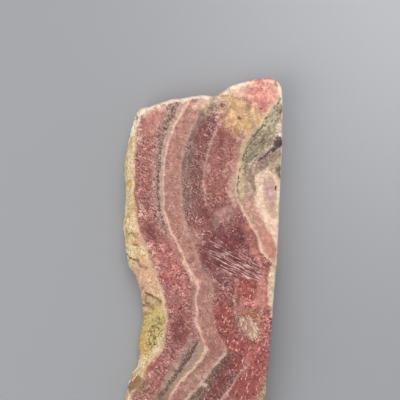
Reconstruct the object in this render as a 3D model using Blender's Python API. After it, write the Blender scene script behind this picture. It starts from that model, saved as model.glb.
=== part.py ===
"""Rhodochrosite slice: one sawn slab of a banded vein, lying on its flat back.

The front (+Z) and the back are parallel saw cuts, and so is the straight right side. The left side
keeps the vein's lumpy natural skin, the top is worn round, and the bottom end is broken. The stone
grew as one piece, so it is one solid. Frame: +Z up, +Y along the slice, origin at the centre of the
box that it fills, on the surface that it lies on.
"""

import math
from typing import NamedTuple

import bmesh
import bpy
import numpy as np
from mathutils import Vector, geometry, noise

MM = 0.001  # the sizes below are in millimetres, and the mesh is in metres

# Driving dimensions. X runs from the skin to the sawn side, Y from the broken end to the top.
LENGTH = 120.0
THICKNESS = 9.0

# The widest outline of the slice, clockwise from the middle of the skin.
SKIN_SIDE = [
    (0.4, 16.0), (1.6, 20.2), (3.0, 23.4), (4.6, 27.6), (5.0, 30.6), (4.7, 33.4), (4.6, 36.6),
    (5.2, 42.0), (5.6, 47.0), (5.1, 50.6), (3.8, 54.8), (2.3, 57.6), (1.1, 61.4), (0.4, 66.6),
    (0.0, 70.4), (0.0, 74.2), (0.2, 79.4), (0.5, 84.6), (0.4, 90.4), (0.8, 95.8), (1.8, 101.2),
    (2.6, 105.0), (3.7, 108.2),
]
TOP_END = [
    (5.8, 110.4), (8.6, 110.9), (11.4, 112.0), (15.6, 113.1), (20.6, 113.8), (25.0, 114.5),
    (29.2, 114.2), (31.8, 115.6), (34.2, 117.4), (38.6, 118.8), (43.0, 119.6), (46.4, 120.0),
    (49.0, 119.2), (50.6, 117.2), (51.1, 114.2),
]
SAWN_SIDE = [
    (51.1, 104.0), (50.9, 96.0), (50.5, 88.0), (50.1, 78.0), (49.7, 68.0), (49.3, 60.0),
    (48.6, 52.0), (47.8, 42.0), (47.1, 32.0), (46.4, 25.0), (45.8, 17.6), (45.4, 11.4),
]
BROKEN_END = [
    (44.0, 6.8), (41.4, 3.6), (37.4, 2.2), (32.0, 0.8), (26.4, 0.0), (20.8, 1.0), (15.8, 2.2),
    (11.0, 1.4), (6.4, 2.6), (3.2, 5.2), (1.6, 8.8), (1.0, 12.4),
]
OUTLINE = SKIN_SIDE + TOP_END + SAWN_SIDE + BROKEN_END

# How far in from the outline the skin's slope runs before it meets the front face, along Y.
SKIN_SLOPE_Y = [4, 16, 20, 24, 27, 30, 34, 40, 44, 50, 54, 58, 63, 67, 72, 80, 90, 100, 104, 110]
SKIN_SLOPE_X = [1.8, 1.4, 2.0, 2.8, 4.2, 6.2, 8.4, 8.4, 7.2, 8.0, 7.8, 7.8, 6.4, 5.2, 4.2, 2.6,
                3.0, 2.2, 2.4, 2.4]


class Section(NamedTuple):
    """How the rim goes from the front face to the back at one place on the outline."""

    front_inset: float  # from the outline in to the edge of the front face
    back_inset: float  # from the outline in to the edge of the back face
    waist: float  # height of the outline above the back, as a share of the thickness
    # A bluntness is the profile's exponent: 2 is a straight slope, 1 an ellipse and near 0 square.
    front_bluntness: float  # above the waist
    back_bluntness: float  # below the waist
    lumps: float  # height of the skin's cobbles
    ledges: float  # height of the steps that a break leaves along the crystals' cleavage


SKIN = Section(0.0, 1.6, 0.28, 1.30, 0.8, 0.85, 0.0)  # its front inset is the skin's slope
TOP = Section(1.3, 0.9, 0.55, 0.70, 0.7, 0.35, 0.0)
SAWN = Section(0.45, 0.45, 0.50, 0.28, 0.28, 0.04, 0.0)
BROKEN = Section(2.6, 1.8, 0.42, 0.90, 0.8, 0.35, 1.7)

# A flake is missing from the front edge of the sawn side.
FLAKE = Section(2.1, 0.45, 0.80, 0.95, 0.28, 0.2, 0.0)
FLAKE_Y = 52.0
FLAKE_HALF_LENGTH = 7.0

# Knobs that stand out of the skin's slope: place along X and Y, radius and height.
KNOBS = [
    (2.4, 72.4, 3.0, 0.6), (3.4, 66.6, 3.0, 0.8), (3.9, 60.0, 2.8, 0.8), (8.2, 55.0, 4.2, 1.2),
    (8.4, 49.3, 2.4, 0.8), (3.6, 22.2, 2.6, 0.6),
]
# Between the knobs the skin is eaten away to a shallow, gritty bay.
BAY_CENTRE = (8.6, 40.0)
BAY_HALF_AXES = (5.5, 8.0)
BAY_DEPTH = 0.9

# The small hollow with white crystals in the front face.
HOLLOW_CENTRE = (41.0, 40.0)
HOLLOW_HALF_AXES = (5.8, 3.2)
HOLLOW_ANGLE = math.radians(-52)
HOLLOW_DEPTH = 1.3

# Sizes of the relief's forms along X, Y and Z.
COBBLES = (4.6, 4.6, 2.9)
SWELL = (13.0, 13.0, 7.0)
GRIT = (1.9, 1.9, 1.5)
LEDGES = (6.0, 6.0, 3.4)
LEDGE_STEPS = 4

# Mesh density.
AROUND = 340
RIM_ROWS = 12
FRONT_SPACING = 3.2
HOLLOW_SPACING = 0.9
BACK_SPACING = 5.0
CLEAR_OF_EDGE = 1.1


def closed_spline(points, count):
    """count points evenly spaced along a closed Catmull-Rom curve through the points."""
    fine_steps = 24
    path = []
    for i in range(len(points)):
        before, start, end, after = (np.array(points[(i + k) % len(points)]) for k in (-1, 0, 1, 2))
        for t in np.arange(fine_steps) / fine_steps:
            path.append(
                0.5 * (2 * start + (end - before) * t
                       + (2 * before - 5 * start + 4 * end - after) * t**2
                       + (3 * start - before - 3 * end + after) * t**3)
            )
    path = np.array(path + path[:1])
    travelled = np.concatenate([[0], np.cumsum(np.linalg.norm(np.diff(path, axis=0), axis=1))])
    stations = np.linspace(0, travelled[-1], count, endpoint=False)
    return np.stack([np.interp(stations, travelled, path[:, k]) for k in (0, 1)], axis=1)


def outward_normals(loop):
    """Unit normals of a clockwise closed loop, pointing out of it."""
    along = np.roll(loop, -2, axis=0) - np.roll(loop, 2, axis=0)
    normals = np.stack([-along[:, 1], along[:, 0]], axis=1)
    return normals / np.linalg.norm(normals, axis=1, keepdims=True)


def section_at(place, normal):
    """The rim's section and the skin's slope, mixed from the four sides by the way the outline faces."""
    skin, sawn = (max(0.0, side * normal[0]) ** 2 for side in (-1, 1))
    broken, top = (max(0.0, side * normal[1]) ** 2 for side in (-1, 1))
    shares = ((skin, SKIN), (sawn, SAWN), (broken, BROKEN), (top, TOP))
    mixed = sum(share * np.array(section) for share, section in shares)
    flake = sawn * max(0.0, 1 - ((place[1] - FLAKE_Y) / FLAKE_HALF_LENGTH) ** 2) ** 0.5
    mixed = mixed + (np.array(FLAKE) - mixed) * flake
    slope = skin * float(np.interp(place[1], SKIN_SLOPE_Y, SKIN_SLOPE_X))
    return Section(*mixed), slope


def rim_point(place, normal, angle):
    """The point of the smooth rim at an angle from the front face's edge (90) to the back's (-90)."""
    section, slope = section_at(place, normal)
    waist = section.waist * THICKNESS
    if angle > 0:
        bluntness = section.front_bluntness
        inset = -normal * section.front_inset + np.array([slope, 0.0])
        height = waist + (THICKNESS - waist) * abs(math.sin(angle)) ** bluntness
    else:
        bluntness = section.back_bluntness
        inset = -normal * section.back_inset
        height = waist * (1 - abs(math.sin(angle)) ** bluntness)
    out = abs(math.cos(angle)) ** bluntness
    return Vector((*(place + inset * (1 - out)), height))


def bell(x, y, centre, half_axes):
    """1 at the centre, falling to 0 along a dome at the half axes."""
    reach = math.hypot((x - centre[0]) / half_axes[0], (y - centre[1]) / half_axes[1])
    return max(0.0, 1 - reach**2) ** 0.5


def in_units(place, sizes):
    """A place counted in forms of these sizes."""
    return Vector([length / size for length, size in zip(place, sizes)])


def skin_relief(place):
    """Cobbles parted by creases on a broad swell, about -1 to 1."""
    nearest = noise.voronoi(in_units(place, COBBLES))[0]
    cobble = min(1.0, 1.9 * (nearest[1] - nearest[0])) ** 0.5
    return 0.75 * (cobble - 0.6) + 0.6 * noise.noise(in_units(place, SWELL))


def ledge_relief(place):
    """Flat steps with short risers, about -0.5 to 0.5."""
    rise = LEDGE_STEPS * (0.5 + 0.7 * noise.noise(in_units(place, LEDGES)))
    tread = math.floor(rise)
    riser = min(1.0, max(0.0, (rise - tread) * 4 - 3))
    return (tread + riser) / LEDGE_STEPS - 0.5


def relief(place, section, is_skin):
    """How far the rough rim stands out of the smooth one."""
    height = section.lumps * skin_relief(place) + section.ledges * ledge_relief(place)
    height += 0.2 * max(section.lumps, section.ledges) * noise.noise(in_units(place, GRIT))
    if is_skin:
        x, y, _ = place
        height += max(tall * bell(x, y, (kx, ky), (r, r)) for kx, ky, r, tall in KNOBS)
        height -= BAY_DEPTH * bell(x, y, BAY_CENTRE, BAY_HALF_AXES)
    return height


def add_rim(mesh, loop):
    """Rings of vertices from the edge of the front face round to that of the back, joined by faces."""
    normals = outward_normals(loop)
    angles = np.linspace(math.pi / 2, -math.pi / 2, RIM_ROWS)
    rings = [
        [mesh.verts.new(rim_point(place, normal, angle)) for place, normal in zip(loop, normals)]
        for angle in angles
    ]
    for upper, lower in zip(rings, rings[1:]):
        for i in range(len(loop)):
            after = (i + 1) % len(loop)
            mesh.faces.new((upper[i], upper[after], lower[after], lower[i]))
    mesh.normal_update()
    for ring, angle in zip(rings, angles):
        at_edge = abs(angle) > math.radians(89)
        moves = []
        for vert, place, normal in zip(ring, loop, normals):
            height = relief(vert.co, section_at(place, normal)[0], normal[0] < 0)
            outward = Vector((*normal, 0)) if at_edge else vert.normal
            moves.append(outward * height * (0.3 if at_edge else math.cos(angle) ** 0.3))
        for vert, move in zip(ring, moves):
            vert.co += move
            vert.co.z = min(THICKNESS, max(0.0, vert.co.z))
    return rings


def hollow_depth(x, y):
    """Depth of the crystal hollow below the front face."""
    dx, dy = x - HOLLOW_CENTRE[0], y - HOLLOW_CENTRE[1]
    along = dx * math.cos(HOLLOW_ANGLE) + dy * math.sin(HOLLOW_ANGLE)
    across = dy * math.cos(HOLLOW_ANGLE) - dx * math.sin(HOLLOW_ANGLE)
    ragged = 1 + 0.22 * noise.noise(Vector((x, y, 0)) / 2.4)
    reach = math.hypot(along / HOLLOW_HALF_AXES[0], across / HOLLOW_HALF_AXES[1]) * ragged
    crystals = 0.3 * noise.noise(Vector((x, y, 5)) / 1.1)
    return HOLLOW_DEPTH * max(0.0, 1 - reach**2) ** 0.6 * (1 + crystals)


def grid_points(low, high, spacing):
    """A triangular grid of points that fills a rectangle."""
    row_step = spacing * math.sqrt(3) / 2
    return [
        (x + (spacing / 2 if row % 2 else 0.0), y)
        for row, y in enumerate(np.arange(low[1], high[1], row_step))
        for x in np.arange(low[0], high[0], spacing)
    ]


def inner_points(ring, spacing):
    """Grid points inside a ring of vertices that keep clear of it."""
    starts = np.array([v.co[:2] for v in ring])
    ends = np.roll(starts, -1, axis=0)
    found = []
    for x, y in grid_points(starts.min(axis=0), starts.max(axis=0), spacing):
        spans = (starts[:, 1] > y) != (ends[:, 1] > y)
        a, b = starts[spans], ends[spans]
        crossings = a[:, 0] + (y - a[:, 1]) * (b[:, 0] - a[:, 0]) / (b[:, 1] - a[:, 1])
        clear = np.hypot(starts[:, 0] - x, starts[:, 1] - y).min() > CLEAR_OF_EDGE
        if clear and (crossings > x).sum() % 2:
            found.append((x, y))
    return found


def front_points(ring):
    """The points inside the front face: coarse on the flat, and fine in the hollow."""
    fine = [p for p in inner_points(ring, HOLLOW_SPACING) if hollow_depth(*p) > 0]
    near = HOLLOW_SPACING * 0.8
    coarse = [
        p for p in inner_points(ring, FRONT_SPACING)
        if all(math.dist(p, q) > near for q in fine)
    ]
    return fine + coarse


def add_face(mesh, ring, inside, height):
    """Fills a ring of vertices with a flat face that has the given points inside it."""
    count = len(ring)
    points = [v.co.to_2d() for v in ring] + [Vector(p) for p in inside]
    edges = [(i, (i + 1) % count) for i in range(count)]
    _, _, faces, origins, _, _ = geometry.delaunay_2d_cdt(points, edges, [], 1, 1e-5)
    verts = ring + [mesh.verts.new((x, y, height(x, y))) for x, y in inside]
    for face in faces:
        mesh.faces.new([verts[origins[i][0]] for i in face])


def slice_mesh():
    """The closed mesh of the slab."""
    mesh = bmesh.new()
    rings = add_rim(mesh, closed_spline(OUTLINE, AROUND))
    front, back = rings[0], rings[-1]
    add_face(mesh, front, front_points(front), lambda x, y: THICKNESS - hollow_depth(x, y))
    add_face(mesh, back, inner_points(back, BACK_SPACING), lambda x, y: 0.0)
    bmesh.ops.recalc_face_normals(mesh, faces=mesh.faces)
    return mesh


def centre_on_box(mesh):
    """Stretches the slab to its exact length and puts the origin under the middle of its box, in metres."""
    places = np.array([v.co for v in mesh.verts])
    low, high = places.min(axis=0), places.max(axis=0)
    stretch = LENGTH / (high[1] - low[1])
    for v in mesh.verts:
        v.co.x -= (low[0] + high[0]) / 2
        v.co.y = (v.co.y - (low[1] + high[1]) / 2) * stretch
        v.co *= MM


def banded_stone():
    """A plain material of the stone's mean colour."""
    material = bpy.data.materials.new("rhodochrosite")
    material.use_nodes = True
    shader = material.node_tree.nodes["Principled BSDF"]
    shader.inputs["Base Color"].default_value = (0.47, 0.19, 0.17, 1)
    shader.inputs["Roughness"].default_value = 0.45
    shader.inputs["Metallic"].default_value = 0.0
    return material


def build():
    for old in list(bpy.data.objects):
        bpy.data.objects.remove(old, do_unlink=True)
    mesh = slice_mesh()
    centre_on_box(mesh)
    data = bpy.data.meshes.new("slice")
    mesh.to_mesh(data)
    mesh.free()
    data.materials.append(banded_stone())
    data.shade_smooth()
    data.set_sharp_from_angle(angle=math.radians(35))
    slab = bpy.data.objects.new("slice", data)
    bpy.context.scene.collection.objects.link(slab)


build()
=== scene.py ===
"""Looks of the rhodochrosite slice: its fine surface, banded stone, studio floor, light and camera.

Lengths are in millimetres on the slice's own grid, X from its skin to the sawn side, Y from the
broken end to the top and Z up from the back face, unless a name ends in _M, which is in metres.
"""

import math

import bmesh
import bpy
import numpy as np
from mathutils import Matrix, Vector, kdtree, noise


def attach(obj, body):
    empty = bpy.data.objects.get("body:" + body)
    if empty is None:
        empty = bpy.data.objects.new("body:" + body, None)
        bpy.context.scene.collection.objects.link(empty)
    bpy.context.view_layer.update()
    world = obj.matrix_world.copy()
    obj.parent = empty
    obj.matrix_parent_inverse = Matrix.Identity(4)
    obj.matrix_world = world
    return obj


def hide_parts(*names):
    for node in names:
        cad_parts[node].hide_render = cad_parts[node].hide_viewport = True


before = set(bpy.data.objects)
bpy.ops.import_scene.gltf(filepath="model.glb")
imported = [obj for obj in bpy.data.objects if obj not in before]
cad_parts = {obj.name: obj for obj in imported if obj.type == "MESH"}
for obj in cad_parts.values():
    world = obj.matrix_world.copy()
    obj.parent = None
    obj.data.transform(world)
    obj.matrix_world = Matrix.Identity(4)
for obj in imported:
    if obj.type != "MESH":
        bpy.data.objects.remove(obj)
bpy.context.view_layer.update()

MM = 0.001
THICKNESS = 9.0
# Where the grid's zero is in the frame, whose origin is in the middle of the slice's box.
GRID_ZERO = Vector((-25.37, -59.88, 0.0))

# --- Seams ---
# The lines that the bands follow on the front face, each as points (x, y) from the broken end to the
# top. A band is placed by its layer: 0 on the first seam, 1 on the second, and so on. The angle at
# about a quarter of the length is a sharp kink that crosses all the bands.

SKIN_EDGE = [
    (1.0, 0.0), (1.4, 8.0), (1.9, 14.0), (2.4, 18.6), (5.2, 20.6), (6.0, 23.0), (6.9, 26.2), (9.2, 29.4),
    (11.8, 32.6), (12.8, 35.8), (13.4, 39.0), (13.8, 42.2), (13.7, 45.4), (13.1, 48.6), (12.2, 51.8),
    (11.2, 55.0), (9.6, 58.2), (8.2, 61.4), (7.0, 64.6), (5.8, 67.8), (4.8, 71.0), (4.2, 74.2), (3.5, 77.4),
    (3.2, 83.8), (3.5, 90.2), (3.6, 96.6), (3.9, 103.0), (5.0, 108.0), (6.0, 113.0), (7.0, 120.0),
]
DOTTED = [
    (2.4, 0.0), (8.6, 11.0), (12.4, 17.8), (16.0, 23.4), (20.0, 29.6), (24.1, 35.8), (22.6, 37.6),
    (21.5, 41.6), (21.6, 48.6), (22.0, 52.4), (20.8, 56.0), (17.9, 60.8), (15.7, 65.6), (13.9, 69.4),
    (12.4, 74.0), (11.3, 78.7), (10.9, 83.8), (10.8, 89.0), (11.3, 94.2), (11.6, 99.8), (12.4, 102.4),
    (13.3, 105.0), (15.2, 109.1), (15.8, 110.8), (17.2, 115.0), (19.0, 120.0),
]
CREAM = [
    (5.4, 0.0), (11.8, 11.6), (15.9, 18.6), (17.9, 21.8), (20.9, 24.6), (23.4, 27.1), (25.2, 29.8),
    (27.1, 32.8), (25.9, 34.9), (24.6, 38.7), (23.4, 41.8), (23.4, 45.8), (23.2, 49.6), (24.0, 52.0),
    (23.8, 54.8), (21.9, 57.6), (20.3, 60.2), (18.9, 63.8), (17.9, 65.9), (16.4, 68.5), (15.2, 71.0),
    (14.4, 74.2), (13.3, 77.1), (12.9, 80.8), (13.1, 86.9), (13.2, 92.0), (14.2, 97.3), (15.0, 100.4),
    (16.4, 103.4), (18.2, 106.9), (21.5, 112.4), (24.6, 117.0), (27.0, 120.0),
]
PALE = [
    (11.6, 0.0), (18.2, 11.8), (22.3, 18.6), (24.7, 21.1), (26.8, 23.8), (28.6, 26.7), (30.6, 29.1),
    (33.2, 31.7), (31.9, 35.8), (30.2, 38.1), (29.0, 42.9), (28.4, 45.8), (28.5, 49.0), (28.9, 51.8),
    (28.0, 55.4), (25.6, 58.2), (24.2, 62.1), (23.2, 65.6), (21.9, 68.5), (19.5, 74.6), (18.9, 78.7),
    (18.7, 82.9), (18.5, 86.9), (18.5, 90.9), (19.1, 93.4), (19.5, 97.3), (20.3, 99.8), (21.9, 103.0),
    (23.6, 106.6), (25.0, 110.1), (26.4, 112.4), (28.8, 116.0), (31.4, 120.0),
]
THREAD = [
    (20.6, 0.0), (28.6, 11.8), (32.5, 17.3), (34.5, 20.8), (36.2, 23.0), (37.8, 25.4), (40.0, 27.5),
    (40.8, 29.4), (38.9, 35.0), (37.3, 39.0), (36.3, 41.8), (35.5, 44.8), (35.5, 49.0), (36.1, 53.0),
    (36.4, 56.0), (35.4, 59.6), (33.6, 63.0), (31.0, 68.4), (28.4, 74.4), (26.6, 79.4), (25.8, 84.0),
    (25.7, 88.0), (26.3, 91.8), (26.7, 93.8), (27.7, 97.6), (29.0, 101.1), (30.0, 104.3), (32.0, 108.0),
    (35.0, 113.0), (39.0, 120.0),
]
FAR_CREAM = [
    (37.0, 0.0), (43.0, 9.0), (48.0, 18.0), (52.0, 27.0), (54.0, 36.0), (54.5, 46.0), (53.5, 54.0),
    (51.5, 57.6), (48.7, 60.2), (46.4, 62.2), (44.7, 64.0), (43.7, 66.9), (42.6, 70.1), (41.0, 72.6),
    (40.0, 75.1), (38.3, 77.8), (36.9, 80.4), (36.1, 83.9), (36.5, 88.0), (37.4, 93.2), (37.9, 96.4),
    (38.7, 99.4), (40.3, 101.8), (42.5, 104.1), (44.2, 106.2), (45.6, 108.2), (47.6, 110.8), (49.1, 113.4),
    (50.5, 115.4), (53.0, 120.0),
]
SMOKE = [
    (44.0, 0.0), (52.0, 14.0), (58.0, 30.0), (59.0, 46.0), (54.6, 58.0), (50.0, 61.0), (47.8, 64.6),
    (46.2, 68.4), (44.4, 72.0), (42.2, 75.2), (40.6, 77.8), (39.6, 80.8), (39.4, 84.0), (39.8, 87.2),
    (41.2, 90.4), (44.4, 94.0), (48.0, 97.0), (50.6, 100.4), (53.6, 104.6), (57.0, 111.0), (60.0, 120.0),
]
LOOP = [
    (50.0, 0.0), (58.0, 16.0), (64.0, 32.0), (64.0, 50.0), (55.0, 61.0), (51.2, 62.8), (49.2, 66.6),
    (48.1, 69.0), (46.5, 72.0), (45.1, 75.7), (43.5, 78.7), (42.9, 81.8), (42.4, 85.9), (42.7, 88.2),
    (43.8, 90.0), (46.0, 91.4), (48.4, 93.2), (50.8, 94.8), (54.0, 97.4), (60.0, 103.0), (66.0, 120.0),
]
SEAMS = [SKIN_EDGE, DOTTED, CREAM, PALE, THREAD, FAR_CREAM, SMOKE, LOOP]

# Waves are given by the size of their forms, how far they push, and where in the noise they are
# taken, if not at 0. The bands waver; the waves that push them along Y are taken further on.
WAVERS = ((2.6, 0.42, 20.0), (1.1, 0.2, 21.0))
WAVERS_APART = 10.0
# Away from the front face the bands drift, so that the back isn't a copy of the front: how far they
# go at the back in X and Y, and the waves in that.
DRIFT = (2.2, -1.4)
DRIFT_WAVES = ((24.0, 2.6), (24.0, 2.6, 7.0))
SKIN_LEAN = 0.5  # how far the patches of the skin slip along it for each millimetre of depth

# The eye: rings round a long drop that leans to the right towards its lower end.
EYE_CENTRE = (47.25, 81.3)
EYE_LEAN = -0.2375
EYE_HALF_WIDTH = 4.35
EYE_UPWARDS = 9.9
EYE_DOWNWARDS = 16.0

# The grey layers are clear near the top, cloud over in the middle, and come back under the kink.
CLOUDED_FROM = 77.0
CLOUDED_TO = 67.0
CLOUDED_ZERO = 14.0  # the X where they cloud over at these heights
CLOUDED_SLOPE = 0.4  # how much higher they do so for each millimetre to the right of that
KINK_START = (21.4, 36.5)
KINK_SLOPE = -0.42

# --- Patches ---
# Soft-edged ellipses on the front face, each as (x, y, half length, half width, degrees that its long
# axis is turned from +X). The soft edge ends and starts at these shares of the half sizes.

PATCH_EDGE = (1.25, 0.5)
# Where each stain is. Three aren't stains: the far cream line is dull in "dimmed", the hollow with
# the crystals is "druse", and saw scratches show in "sawn". The bloom and the flake are partly painted
# highlight along the right edge and at the upper left corner.
PATCHES = {
    "peachy": [
        (36.0, 115.4, 8.6, 3.2, 18), (25.6, 111.6, 4.4, 1.9, 30), (8.8, 109.2, 6.0, 1.8, 18),
        (20.8, 58.0, 4.4, 0.7, -58),
    ],
    "blush": [
        (24.4, 66.0, 7.0, 2.4, -60), (27.0, 26.4, 6.5, 1.1, 52), (21.8, 104.6, 3.8, 0.9, 62),
        (29.8, 47.2, 2.0, 1.6, 90), (26.8, 90.6, 2.6, 1.4, 80), (33.4, 90.4, 2.8, 1.4, 65),
    ],
    "frost": [
        (6.4, 75.5, 6.0, 1.4, 100), (9.8, 62.5, 6.0, 1.2, -64), (5.3, 101.6, 3.6, 1.1, 88),
        (9.2, 24.6, 1.9, 0.8, 25), (31.0, 107.0, 3.8, 1.4, 90),
    ],
    "rosy": [(15.0, 59.0, 10.0, 3.2, -60), (45.0, 40.6, 4.4, 2.0, 88), (41.4, 47.4, 4.8, 1.6, -6)],
    "dun": [(22.6, 22.6, 7.0, 1.8, 52), (44.8, 20.6, 7.0, 2.4, 70)],
    "maroon": [
        (32.0, 24.0, 9.0, 2.4, 57), (26.6, 76.0, 3.6, 2.0, 120), (25.0, 102.0, 4.6, 1.6, 70),
        (31.4, 100.2, 2.8, 1.2, 80), (8.6, 70.8, 3.6, 2.0, -50), (18.0, 38.8, 5.0, 2.8, 90),
        (32.0, 39.4, 2.6, 1.6, 100), (32.6, 28.2, 3.2, 1.3, 57), (31.7, 106.9, 1.0, 0.7, 0),
        (41.3, 104.3, 1.2, 0.7, 0),
    ],
    "coral": [
        (45.8, 113.3, 7.0, 5.2, -45), (41.6, 114.8, 3.4, 3.0, 90), (42.4, 110.4, 2.6, 1.2, 90),
        (44.6, 118.6, 5.6, 2.0, 4),
    ],
    "flush": [
        (46.8, 66.4, 6.6, 1.9, -66), (9.4, 105.6, 5.2, 2.5, 62), (44.6, 51.4, 7.4, 2.4, 86),
        (42.2, 63.6, 4.2, 1.1, -62), (16.2, 65.4, 5.4, 0.9, -62), (38.0, 45.2, 2.2, 1.6, 0),
        (41.6, 31.4, 4.4, 1.9, 60),
    ],
    "heart": [
        (29.6, 62.6, 6.4, 4.6, -25), (35.4, 67.8, 5.4, 3.6, 45), (34.6, 62.4, 3.8, 3.2, -25),
        (30.6, 68.2, 4.6, 2.6, 20),
    ],
    "smoky": [
        (30.6, 54.8, 4.6, 2.6, -30), (29.4, 72.0, 4.6, 2.4, -50), (27.2, 57.6, 3.2, 1.4, -45),
        (34.4, 73.6, 3.0, 1.4, 30),
    ],
    "mauve": [(32.6, 76.2, 4.8, 2.6, 32)],
    "fawn": [(35.4, 83.8, 6.2, 1.9, 95)],
    "amber": [(40.6, 69.6, 5.6, 1.8, -61), (28.4, 34.0, 3.6, 1.0, -12), (40.2, 51.0, 3.0, 1.4, 10)],
    "red": [
        (31.8, 41.8, 7.4, 3.2, 100), (37.4, 34.2, 5.0, 3.0, 0), (37.0, 28.6, 4.6, 2.0, 60),
        (43.2, 31.0, 6.5, 3.2, 80), (40.4, 21.4, 6.5, 4.4, 60), (13.8, 55.4, 2.8, 1.2, -30),
        (17.0, 46.0, 2.2, 0.7, 0), (39.4, 52.2, 3.6, 3.8, 90), (45.0, 110.4, 2.0, 0.8, 50),
        (9.2, 27.4, 3.8, 0.9, 50),
    ],
    "olive": [(28.5, 110.6, 3.8, 2.6, 60), (46.2, 18.6, 6.4, 2.4, 74), (48.4, 91.0, 3.0, 1.0, -45)],
    "ochre": [(36.8, 107.6, 6.8, 4.9, 90), (41.0, 106.0, 5.6, 3.4, 45), (33.4, 113.6, 2.6, 1.8, 0)],
    "rust": [(41.8, 43.9, 5.0, 1.5, -22)],
    "violet": [(46.7, 34.4, 9.6, 1.0, 84)],
    # A pale chip on the right edge, partly a painted highlight along it.
    "flake_and_edge_highlight": [(48.1, 52.2, 8.8, 1.9, 88)],
    "iris": [(47.4, 82.0, 8.2, 2.9, 98)],
    "pupil": [(46.8, 83.0, 4.6, 1.7, 94)],
    # Pale bloom, partly a painted highlight where the right edge and the upper left corner catch the light.
    "bloom_and_edge_highlight": [
        (6.2, 109.2, 3.4, 1.5, 48), (50.2, 102.8, 2.8, 1.5, 90), (50.3, 115.6, 3.4, 1.0, 95),
        (49.2, 62.8, 3.4, 0.6, 86), (49.8, 80.2, 5.0, 0.7, 88),
    ],
    "tobacco": [(12.4, 17.4, 5.4, 2.6, 58), (5.8, 19.6, 4.4, 2.6, 40)],
    "vein": [(24.6, 22.9, 3.6, 0.6, -50), (26.0, 21.5, 1.1, 0.8, 0)],
    "ash": [(46.4, 93.0, 6.0, 1.8, 38), (41.4, 87.0, 5.0, 0.8, 100)],
    "mint": [(47.0, 105.8, 5.0, 1.5, 56)],
    "dimmed": [(39.8, 99.2, 8.0, 2.6, 58)],
    "straw": [(38.0, 87.4, 8.0, 1.3, 92)],
    "druse": [(40.8, 39.6, 5.2, 2.8, -56)],
    "sawn": [(35.4, 60.2, 11.5, 4.6, -25), (31.0, 63.8, 8.0, 3.8, -25)],
    "drab": [(50.1, 89.8, 2.7, 1.3, 105)],
    "dark": [
        (49.6, 98.8, 2.2, 1.9, 90), (48.1, 96.6, 1.2, 0.8, 40), (45.4, 94.7, 3.0, 0.5, 38),
        (49.2, 84.5, 1.3, 0.4, 80), (37.3, 106.6, 0.6, 0.5, 0), (42.9, 94.9, 0.9, 0.4, 40),
        (44.4, 99.4, 1.6, 0.35, 35),
    ],
}
# Stains that end at the far cream line, and the layers where they have ended and where they start to.
OUTER_STAINS = ("coral", "ochre", "peachy")
OUTER_STAINS_END = (5.04, 4.98)
# How calm the stains make the grain, from 0 to 1; the others leave it as it is.
CALM = {
    "coral": 1.0, "ochre": 1.0, "peachy": 1.0, "flake_and_edge_highlight": 1.0, "straw": 1.0, "flush": 1.0, "mauve": 1.0,
    "fawn": 1.0, "amber": 1.0, "iris": 1.0, "pupil": 1.0, "red": 0.7, "maroon": 0.5,
}
# Patches of the skin's colours.
SKIN_PATCHES = {
    "bleached": [(4.2, 106.6, 5.2, 3.6, 75)],
    "peach": [(6.4, 55.0, 8.5, 7.0, 90), (5.6, 69.0, 4.5, 1.8, -60)],
    "bay": [(8.4, 39.6, 9.5, 8.0, 90)],
    "speckled": [(9.6, 37.6, 7.4, 2.6, 62)],
    "cream_edge": [(10.0, 32.6, 6.4, 1.5, 56)],
    "umber": [(9.4, 49.0, 4.4, 1.7, -30), (7.4, 46.0, 2.0, 1.2, 0), (3.4, 69.6, 3.4, 0.9, -35)],
    "foot": [(4.4, 21.6, 3.6, 3.2, 0)],
}
# Creases and cracks in the skin, each from one place to another, and their depth.
CREASES = [
    ((0.4, 62.6), (3.4, 61.4), 0.7), ((3.4, 61.4), (7.6, 58.8), 0.7), ((6.0, 51.6), (12.0, 48.0), 0.8),
    ((3.2, 66.6), (5.6, 65.0), 0.5), ((0.8, 70.8), (3.2, 69.4), 0.4), ((4.0, 107.6), (4.9, 103.4), 0.5),
    ((8.2, 47.0), (4.4, 46.0), 0.6),
]
CREASE_HALF_WIDTH = 0.8

# --- Mesh ---

VOXEL_M = 0.00054
WELD_M = 1e-6
RIM_LEVEL = 0.93  # a vertex whose normal rises or falls less than this is on a rim
TRACE = 0.02  # the weight from which a place counts as in the hollow
MOST_SIDES = 4  # a face with more sides is split
RIM_SMOOTHING = 0.5

# Which part of the stone a place belongs to, by its normal and where it lies.
BACK_RISE = (-0.95, -0.7)  # the normal's Z: the back up to the first, the skin from the second on
END_FACING = (0.3, 0.7)  # the normal's Y, either way: an end face from the second on
BROKEN_BELOW_Y = 20.0
TOP_ABOVE_Y = 100.0
SKIN_EDGE_SOFTNESS = 0.4

# Waves, given like those of the bands.
SKIN_EDGE_WAVES = (1.7, 0.8)
CREASE_WAVES = ((1.6, 0.5, 3.0), (2.4, 1.2, 5.0))
GRIT_WAVES = ((0.8, 0.16), (0.42, 0.08))
WORN_WAVES = (1.6, 0.12)
LEDGE_WAVES = (3.2, 0.7, 11.0)

# Relief of the skin.
COBBLE_SIZE = 2.1
COBBLE_HEIGHT = 0.3
COBBLE_STEEPNESS = 2.2
COBBLE_SUNK = 0.7  # the share of a cobble's height that lies below the smooth surface
PIT_SIZE = 1.5
PIT_REACH = 0.34
PIT_DEPTH = 0.4
PIT_CHANCE = 0.5
PIT_SHIFT = 40.0
# The broken end's ledges.
LEDGE_STEPS = 5
LEDGE_HEIGHT = 0.9
LEDGE_TREAD = 0.8  # the share of a step that is flat
# The crystals in the hollow fan out from a point on its rim.
FAN_POINT = (38.6, 43.8)
NEEDLE_ANGLE = 0.16
NEEDLE_LENGTH = 2.2
NEEDLE_HEIGHT = 0.8
NEEDLE_REACH = 0.6
CELL_SHUFFLE = 7.3  # spreads the cells' centres, so that each gives a number of its own


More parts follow.
